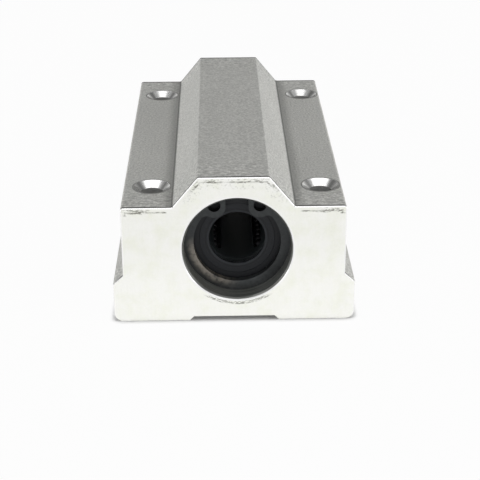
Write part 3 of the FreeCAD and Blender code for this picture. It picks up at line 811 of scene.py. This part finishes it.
def lay_floor(studio):
    """A square white table under the block; it shows mostly plain white, with a soft shadow."""
    half = studio.floor_width / 2.0
    corners = np.array([[-half, -half], [half, -half], [half, half], [-half, half]])
    points = np.concatenate((corners, np.full((4, 1), -studio.floor_drop)), axis=1)
    mesh = bpy.data.meshes.new("white_table")
    mesh.from_pydata(points.tolist(), [], [[0, 1, 2, 3]])
    floor = bpy.data.objects.new("white_table", mesh)
    bpy.context.scene.collection.objects.link(floor)
    material = bpy.data.materials.new("white_table")
    material.use_nodes = True
    recipe = Recipe(material.node_tree)
    matt = recipe.node("ShaderNodeBsdfDiffuse")
    matt.inputs["Color"].default_value = colour(studio.floor_colour)
    glow = recipe.node("ShaderNodeEmission")
    glow.inputs["Color"].default_value = colour(WHITE)
    glow.inputs["Strength"].default_value = 1.0
    open_glow = recipe.times(open_share(recipe, studio.contact_reach), studio.floor_glow)
    surface = recipe.node("ShaderNodeMixShader")
    recipe.feed(surface.inputs[0], recipe.times(plain_share(recipe), open_glow))
    recipe.feed(surface.inputs[1], matt.outputs[0])
    recipe.feed(surface.inputs[2], glow.outputs[0])
    output = recipe.node("ShaderNodeOutputMaterial")
    recipe.feed(output.inputs["Surface"], surface.outputs[0])
    mesh.materials.append(material)


def light_world(scene, studio):
    """White light from all round: brighter at the sides, most at the right, weaker above."""
    world = bpy.data.worlds.new("studio")
    world.use_nodes = True
    scene.world = world
    recipe = Recipe(world.node_tree)
    across, _, up = recipe.split(recipe.node("ShaderNodeTexCoord").outputs["Generated"])
    fall = recipe.blend(recipe.ramp(up, *FALL_HEIGHT), studio.horizon, studio.overhead)
    gain = recipe.line(recipe.times(across, across), studio.side_gain, 1.0)
    gain = recipe.line(across, studio.lean, gain)
    back = recipe.node("ShaderNodeBackground")
    back.inputs["Color"].default_value = colour(WHITE)
    recipe.feed(back.inputs["Strength"], recipe.times(fall, gain))
    output = recipe.node("ShaderNodeOutputWorld")
    recipe.feed(output.inputs["Surface"], back.outputs[0])


def hang_lamp(studio):
    """One wide soft lamp above the front of the block, facing it."""
    lamp = bpy.data.lights.new("key", "AREA")
    lamp.shape = "RECTANGLE"
    lamp.size, lamp.size_y = LAMP_SIZE
    lamp.energy = studio.key_power
    lamp.color = WHITE
    key = bpy.data.objects.new("key", lamp)
    key.location = LAMP_PLACE
    key.rotation_euler = (LAMP_TILT, 0.0, 0.0)
    bpy.context.scene.collection.objects.link(key)


def aim_camera(scene, studio):
    """A camera at its place, turned by a heading, a downward tilt and a roll."""
    heading, tilt, roll = studio.camera_turn
    turn = (
        Matrix.Rotation(-heading, 4, "Z")
        @ Matrix.Rotation(math.radians(90.0) - tilt, 4, "X")
        @ Matrix.Rotation(-roll, 4, "Z")
    )
    lens = bpy.data.cameras.new("camera")
    lens.sensor_width = SENSOR_WIDTH
    lens.lens = studio.lens
    lens.clip_start, lens.clip_end = CLIP_RANGE
    camera = bpy.data.objects.new("camera", lens)
    camera.matrix_world = Matrix.Translation(studio.camera_place) @ turn
    scene.collection.objects.link(camera)
    scene.camera = camera


# ------------------------------------------------------------------------ operators


def dress(nodes, material):
    """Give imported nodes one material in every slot."""
    for name in nodes:
        mesh = bpy.data.objects[name].data
        mesh.materials.clear()
        mesh.materials.append(material)


class BEARING_OT_dress_housing(bpy.types.Operator):
    """Finish the housing as blasted extrusion with milled ends"""

    bl_idname = "bearing.dress_housing"
    bl_label = "Dress housing"

    def execute(self, context):
        dress(["housing"], housing_finish(context.scene.block_colours))
        return {"FINISHED"}


class BEARING_OT_dress_retaining_rings(bpy.types.Operator):
    """Finish the two retaining rings as dark spring steel"""

    bl_idname = "bearing.dress_retaining_rings"
    bl_label = "Dress retaining rings"

    def execute(self, context):
        material = spring_steel_finish(context.scene.block_colours)
        dress([f"{end}_retaining_ring" for end in ENDS], material)
        return {"FINISHED"}


class BEARING_OT_dress_seals(bpy.types.Operator):
    """Finish the four wiper seals as black rubber"""

    bl_idname = "bearing.dress_seals"
    bl_label = "Dress seals"

    def execute(self, context):
        material = seal_finish(context.scene.block_colours)
        dress([f"{end}_{side}_seal" for end in ENDS for side in ("outer", "inner")], material)
        return {"FINISHED"}


class BEARING_OT_dress_steel(bpy.types.Operator):
    """Finish the sleeves, end rings and spacer as ground steel"""

    bl_idname = "bearing.dress_steel"
    bl_label = "Dress bearing steel"

    def execute(self, context):
        nodes = ["spacer_sleeve"]
        for end in ENDS:
            nodes += [f"{end}_outer_sleeve", f"{end}_outer_end_ring", f"{end}_inner_end_ring"]
        dress(nodes, ground_steel_finish(context.scene.block_colours))
        return {"FINISHED"}


class BEARING_OT_dress_cages(bpy.types.Operator):
    """Finish the two ball cages as moulded resin"""

    bl_idname = "bearing.dress_cages"
    bl_label = "Dress cages"

    def execute(self, context):
        material = cage_finish(context.scene.block_colours)
        dress([f"{end}_ball_cage" for end in ENDS], material)
        return {"FINISHED"}


class BEARING_OT_make_balls(bpy.types.Operator):
    """Put round balls, darkened as painted shade, on the centres of each packed circuit"""

    bl_idname = "bearing.make_balls"
    bl_label = "Make balls"

    def execute(self, context):
        sizes = context.scene.block_sizes
        material = ball_finish(context.scene.block_colours)
        for node in sorted(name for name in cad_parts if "_ball_circuit_" in name):
            centres = ball_centres(node, sizes.balls_per_circuit)
            points, faces = ball_surface(
                centres, sizes.ball_radius, sizes.ball_rings, sizes.ball_sectors
            )
            piece = add_piece(f"{node}_balls", points, faces, material)
            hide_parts(node)
        return {"FINISHED"}


class BEARING_OT_make_threads(bpy.types.Operator):
    """Cut a thread into each of the four holes of the base"""

    bl_idname = "bearing.make_threads"
    bl_label = "Make threads"

    def execute(self, context):
        sizes = context.scene.block_sizes
        material = thread_finish(context.scene.block_colours)
        for end, along in zip(ENDS, (-HOLE_ALONG, HOLE_ALONG)):
            for side, across in (("left", -HOLE_ACROSS), ("right", HOLE_ACROSS)):
                points, faces = thread_ridge(sizes, (SHAFT_X + across) * MM, along * MM)
                name = f"{end}_{side}_thread"
                add_piece(name, points, faces, material, smooth=False)
        return {"FINISHED"}


class BEARING_OT_set_studio(bpy.types.Operator):
    """Lay a white floor, light the block softly and aim the camera"""

    bl_idname = "bearing.set_studio"
    bl_label = "Set studio"

    def execute(self, context):
        studio = context.scene.block_studio
        lay_floor(studio)
        light_world(context.scene, studio)
        hang_lamp(studio)
        aim_camera(context.scene, studio)
        context.scene.view_settings.view_transform = "Standard"
        return {"FINISHED"}


class BEARING_PT_panel(bpy.types.Panel):
    """Buttons and settings of the bearing block"""

    bl_idname = "BEARING_PT_panel"
    bl_label = "Bearing block"
    bl_space_type = "VIEW_3D"
    bl_region_type = "UI"
    bl_category = "Bearing block"

    def draw(self, context):
        column = self.layout.column()
        for step in STEPS:
            column.operator(step.bl_idname)
        scene = context.scene
        for group in (scene.block_colours, scene.block_sizes, scene.block_studio):
            box = self.layout.box()
            for name in group.__annotations__:
                box.prop(group, name)


STEPS = (
    BEARING_OT_dress_housing,
    BEARING_OT_dress_retaining_rings,
    BEARING_OT_dress_seals,
    BEARING_OT_dress_steel,
    BEARING_OT_dress_cages,
    BEARING_OT_make_balls,
    BEARING_OT_make_threads,
    BEARING_OT_set_studio,
)
CLASSES = (BlockColours, BlockSizes, BlockStudio, *STEPS, BEARING_PT_panel)


def register():
    """Add the classes and hang their settings on the scene."""
    for part in CLASSES:
        bpy.utils.register_class(part)
    bpy.types.Scene.block_colours = PointerProperty(type=BlockColours)
    bpy.types.Scene.block_sizes = PointerProperty(type=BlockSizes)
    bpy.types.Scene.block_studio = PointerProperty(type=BlockStudio)


def unregister():
    """Take the settings and the classes away again."""
    del bpy.types.Scene.block_studio
    del bpy.types.Scene.block_sizes
    del bpy.types.Scene.block_colours
    for part in reversed(CLASSES):
        bpy.utils.unregister_class(part)


def main():
    """Run every step in order."""
    register()
    bpy.ops.bearing.dress_housing()
    bpy.ops.bearing.dress_retaining_rings()
    bpy.ops.bearing.dress_seals()
    bpy.ops.bearing.dress_steel()
    bpy.ops.bearing.dress_cages()
    bpy.ops.bearing.make_balls()
    bpy.ops.bearing.make_threads()
    bpy.ops.bearing.set_studio()


if __name__ == "__main__":
    main()
